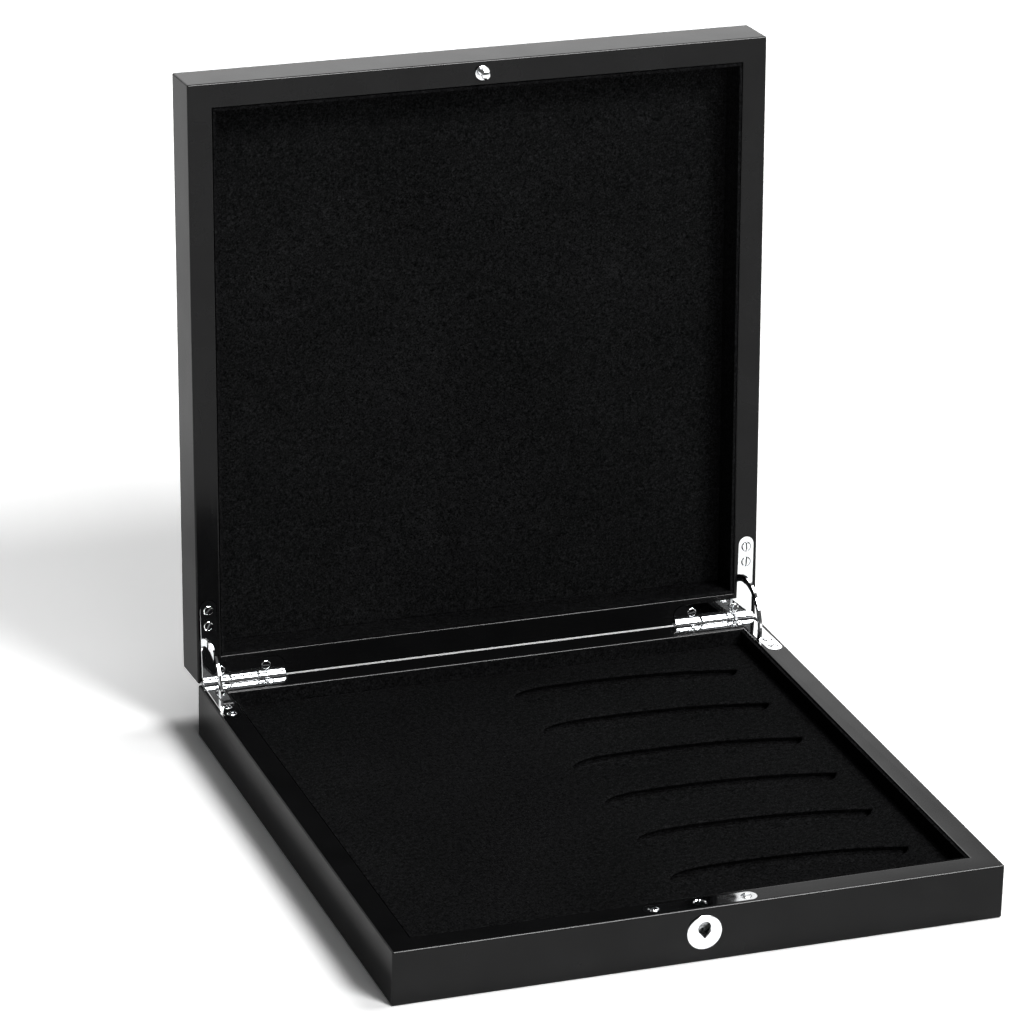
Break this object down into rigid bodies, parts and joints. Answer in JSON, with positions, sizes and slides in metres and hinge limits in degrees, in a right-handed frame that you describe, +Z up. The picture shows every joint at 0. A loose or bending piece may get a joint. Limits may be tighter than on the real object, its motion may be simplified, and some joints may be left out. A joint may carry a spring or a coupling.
{
  "type": "knife display case",
  "caption": "Shallow lacquered case, open lid on two quadrant hinges with curved stays, velvet insert with blade-shaped pockets, small keyed lock.",
  "frame": {"origin": "centre of the base's underside", "axes": "+X to the right as seen from the lock side, +Y to the rear where the hinges are, +Z up"},
  "size_m": [0.33, 0.3855, 0.3677],
  "materials": {
    "lacquer": "black high-gloss lacquer",
    "velvet": "short black velvet pile",
    "chrome": "mirror polished",
    "steel": "plain machined"
  },
  "bodies": {
    "base": {"base_front_rail": "lacquer", "base_rear_rail": "lacquer", "base_left_rail": "lacquer", "base_right_rail": "lacquer", "base_bottom_panel": "lacquer", "base_front_liner": "velvet", "base_rear_liner": "velvet", "base_left_liner": "velvet", "base_right_liner": "velvet", "knife_insert": "velvet", "left_base_leaf": "chrome", "left_base_leaf_screw_1": "chrome", "left_base_leaf_screw_2": "chrome", "left_base_leaf_screw_3": "chrome", "left_base_leaf_screw_4": "chrome", "left_hinge_pin": "steel", "right_base_leaf": "chrome", "right_base_leaf_screw_1": "chrome", "right_base_leaf_screw_2": "chrome", "right_base_leaf_screw_3": "chrome", "right_base_leaf_screw_4": "chrome", "right_hinge_pin": "steel", "lock_faceplate": "chrome", "faceplate_screw_1": "chrome", "faceplate_screw_2": "chrome", "lock_case": "steel", "escutcheon": "chrome"},
    "lid": {"lid_front_rail": "lacquer", "lid_rear_rail": "lacquer", "lid_left_rail": "lacquer", "lid_right_rail": "lacquer", "lid_top_panel": "lacquer", "lid_front_liner": "velvet", "lid_rear_liner": "velvet", "lid_left_liner": "velvet", "lid_right_liner": "velvet", "lid_lining_panel": "velvet", "left_lid_leaf": "chrome", "left_lid_leaf_screw_1": "chrome", "left_lid_leaf_screw_2": "chrome", "left_lid_leaf_screw_3": "chrome", "left_lid_leaf_screw_4": "chrome", "right_lid_leaf": "chrome", "right_lid_leaf_screw_1": "chrome", "right_lid_leaf_screw_2": "chrome", "right_lid_leaf_screw_3": "chrome", "right_lid_leaf_screw_4": "chrome", "striker_stud": "chrome"},
    "left_stay": {"left_stay_arm": "chrome"},
    "right_stay": {"right_stay_arm": "chrome"},
    "bolt": {"lock_bolt": "steel"},
    "tumbler": {"lock_tumbler": "steel"}
  },
  "joints": [
    {"name": "lid_hinge", "type": "hinge", "parent": "base", "child": "lid", "pos_m": [0, 0.1692, 0.0305], "axis": [1, 0, 0], "range_deg": [0, 92.9]},
    {"name": "left_stay_slide", "type": "hinge", "parent": "base", "child": "left_stay", "pos_m": [0, 0.1692, 0.0305], "axis": [1, 0, 0], "range_deg": [0, 46.45]},
    {"name": "right_stay_slide", "type": "hinge", "parent": "base", "child": "right_stay", "pos_m": [0, 0.1692, 0.0305], "axis": [1, 0, 0], "range_deg": [0, 46.45]},
    {"name": "tumbler_turn", "type": "hinge", "parent": "base", "child": "tumbler", "pos_m": [0, -0.16165, 0.0167], "axis": [0, 1, 0], "range_deg": [0, 90]},
    {"name": "bolt_slide", "type": "slide", "parent": "base", "child": "bolt", "axis": [1, 0, 0], "range_m": [0, 0.00636]}
  ],
  "couplings": [
    {"joint": "left_stay_slide", "follows": "lid_hinge", "ratio": 0.5},
    {"joint": "right_stay_slide", "follows": "lid_hinge", "ratio": 0.5},
    {"joint": "tumbler_turn", "follows": "bolt_slide", "rad_per_m": 246.8}
  ]
}
